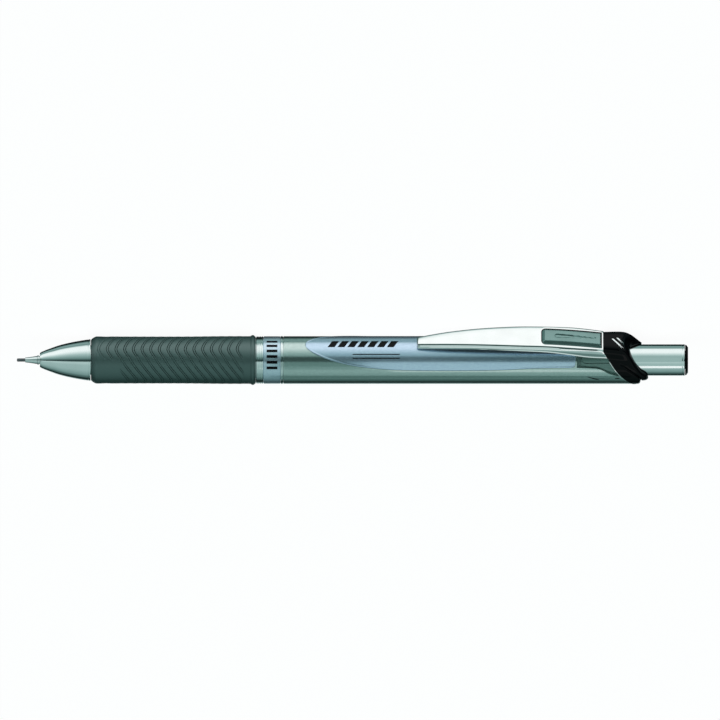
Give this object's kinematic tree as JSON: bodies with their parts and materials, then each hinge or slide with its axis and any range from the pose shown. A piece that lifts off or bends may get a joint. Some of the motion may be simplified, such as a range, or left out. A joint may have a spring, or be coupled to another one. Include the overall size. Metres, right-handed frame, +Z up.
{
  "type": "lead holder",
  "caption": "Push-button pencil with chrome nose, grooved rubber grip, metallic barrel with inlaid panel, sprung pocket clip, black collar and pull-off button over an eraser.",
  "frame": {"origin": "bottom centre of the pencil's box as it lies on a table, on its grip's ridge and the long edge of its clip", "axes": "+X along the pencil towards its writing point, +Z up, clip on the -Y side leaning down to the table"},
  "size_m": [0.143, 0.0136, 0.0107],
  "materials": {
    "graphite": "dark graphite and polymer, slight sheen",
    "chrome": "polished plating",
    "seal_rubber": "matt",
    "brass": "turned",
    "spring_steel": "drawn wire",
    "core_plastic": "moulded",
    "tube_plastic": "milky, satin",
    "eraser_vinyl": "matt white vinyl",
    "collar_plastic": "high gloss black",
    "grip_rubber": "satin, grooved",
    "band_paint": "blue-silver metallic",
    "barrel_paint": "grey-green metallic",
    "panel_paint": "light steel-blue metallic",
    "holder_plastic": "dark green-grey, glossy",
    "clip_metal": "polished, near white",
    "insert_plastic": "grey-green, high gloss"
  },
  "bodies": {
    "barrel": {"rear_barrel": "barrel_paint", "front_barrel": "core_plastic", "rubber_grip": "grip_rubber", "center_ring": "chrome", "name_band": "band_paint", "rear_ring": "chrome", "accent_panel": "panel_paint", "clip_holder": "holder_plastic", "rear_collar": "collar_plastic", "clutch_sleeve": "brass", "chuck_spring": "spring_steel"},
    "nose": {"nose_cone": "chrome", "tip_sleeve": "chrome", "lead_retainer": "seal_rubber"},
    "push_unit": {"reservoir_tube": "tube_plastic", "chuck_connector": "core_plastic", "chuck_body": "brass", "eraser_ferrule": "spring_steel", "eraser": "eraser_vinyl", "spare_lead_1": "graphite", "spare_lead_2": "graphite"},
    "clutch_ring": {"chuck_ring": "brass"},
    "jaw_1": {"chuck_jaw_1": "brass"},
    "jaw_2": {"chuck_jaw_2": "brass"},
    "jaw_3": {"chuck_jaw_3": "brass"},
    "button_cap": {"push_button": "chrome", "button_end": "collar_plastic"},
    "lead": {"lead": "graphite"},
    "clip": {"clip": "clip_metal", "window_insert": "insert_plastic"}
  },
  "joints": [
    {"name": "push", "type": "slide", "parent": "barrel", "child": "push_unit", "axis": [1, 0, 0], "range_m": [0, 0.0045], "stiffness_N_per_m": 400, "springref_m": -0.008, "deforming": ["chuck_spring"]},
    {"name": "ring_slide", "type": "slide", "parent": "barrel", "child": "clutch_ring", "axis": [1, 0, 0], "range_m": [0, 0.0016]},
    {"name": "jaw_1_bend", "type": "hinge", "parent": "push_unit", "child": "jaw_1", "pos_m": [0.05135, 0.00074, 0.00507], "axis": [0, 0.3501, -0.9367], "range_deg": [0, 2.6]},
    {"name": "jaw_2_bend", "type": "hinge", "parent": "push_unit", "child": "jaw_2", "pos_m": [0.05135, 0.00211, 0.00484], "axis": [0, 0.6362, 0.7715], "range_deg": [0, 2.6]},
    {"name": "jaw_3_bend", "type": "hinge", "parent": "push_unit", "child": "jaw_3", "pos_m": [0.05135, 0.00163, 0.00614], "axis": [0, -0.9863, 0.1652], "range_deg": [0, 2.6]},
    {"name": "cap_pull", "type": "slide", "parent": "push_unit", "child": "button_cap", "axis": [-1, 0, 0], "range_m": [0, 0.02]},
    {"name": "lead_feed", "type": "slide", "parent": "barrel", "child": "lead", "axis": [1, 0, 0], "range_m": [-0.0018, 0.012]},
    {"name": "nose_removal", "type": "slide", "parent": "barrel", "child": "nose", "axis": [1, 0, 0], "range_m": [0, 0.012]},
    {"name": "clip_flex", "type": "hinge", "parent": "barrel", "child": "clip", "pos_m": [-0.0555, -0.0037, 0.0034], "axis": [0, 0.3501, -0.9367], "range_deg": [0, 4], "stiffness_Nm_per_rad": 1.5, "springref_deg": -2.86}
  ],
  "couplings": [
    {"joint": "ring_slide", "follows": "push", "ratio": 0.35},
    {"joint": "jaw_1_bend", "follows": "push", "rad_per_m": 10},
    {"joint": "jaw_2_bend", "follows": "push", "rad_per_m": 10},
    {"joint": "jaw_3_bend", "follows": "push", "rad_per_m": 10}
  ]
}
